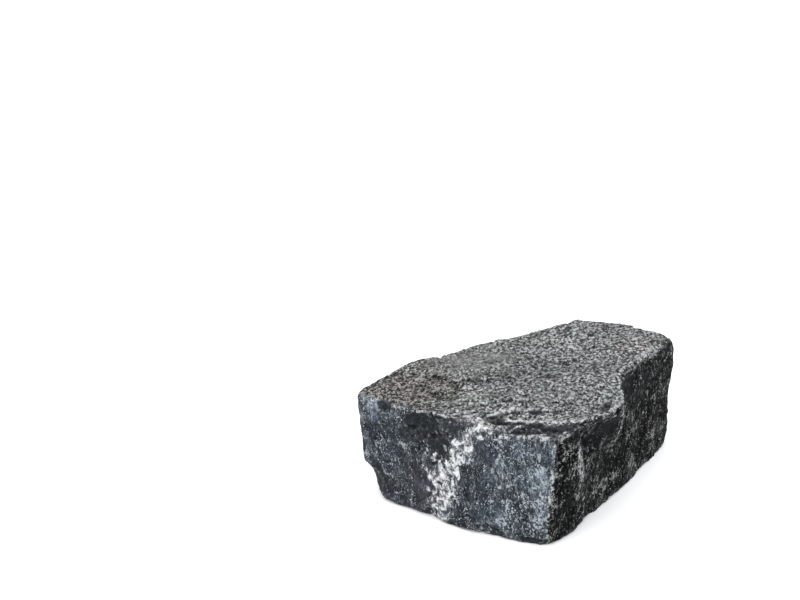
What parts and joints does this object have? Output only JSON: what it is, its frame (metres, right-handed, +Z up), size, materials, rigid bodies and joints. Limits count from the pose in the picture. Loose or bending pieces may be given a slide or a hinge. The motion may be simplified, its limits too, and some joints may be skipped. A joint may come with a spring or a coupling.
{
  "type": "rough rock",
  "caption": "Rough-broken block of dark limestone with a flat grainy top, steep split walls and a pale mineral band.",
  "frame": {"origin": "centre of the bounding box's bottom face, on the ground the rock rests on", "axes": "+Z up from the resting face, +X along the rock's longest extent, -Y towards the wall with the pale band"},
  "size_m": [0.1958, 0.1532, 0.0749],
  "materials": {
    "stone": "rough broken dark grey limestone, dusty grey top, black-grey right wall, blotchy white mineral band"
  },
  "bodies": {
    "root": {"rock": "stone"}
  },
  "joints": []
}
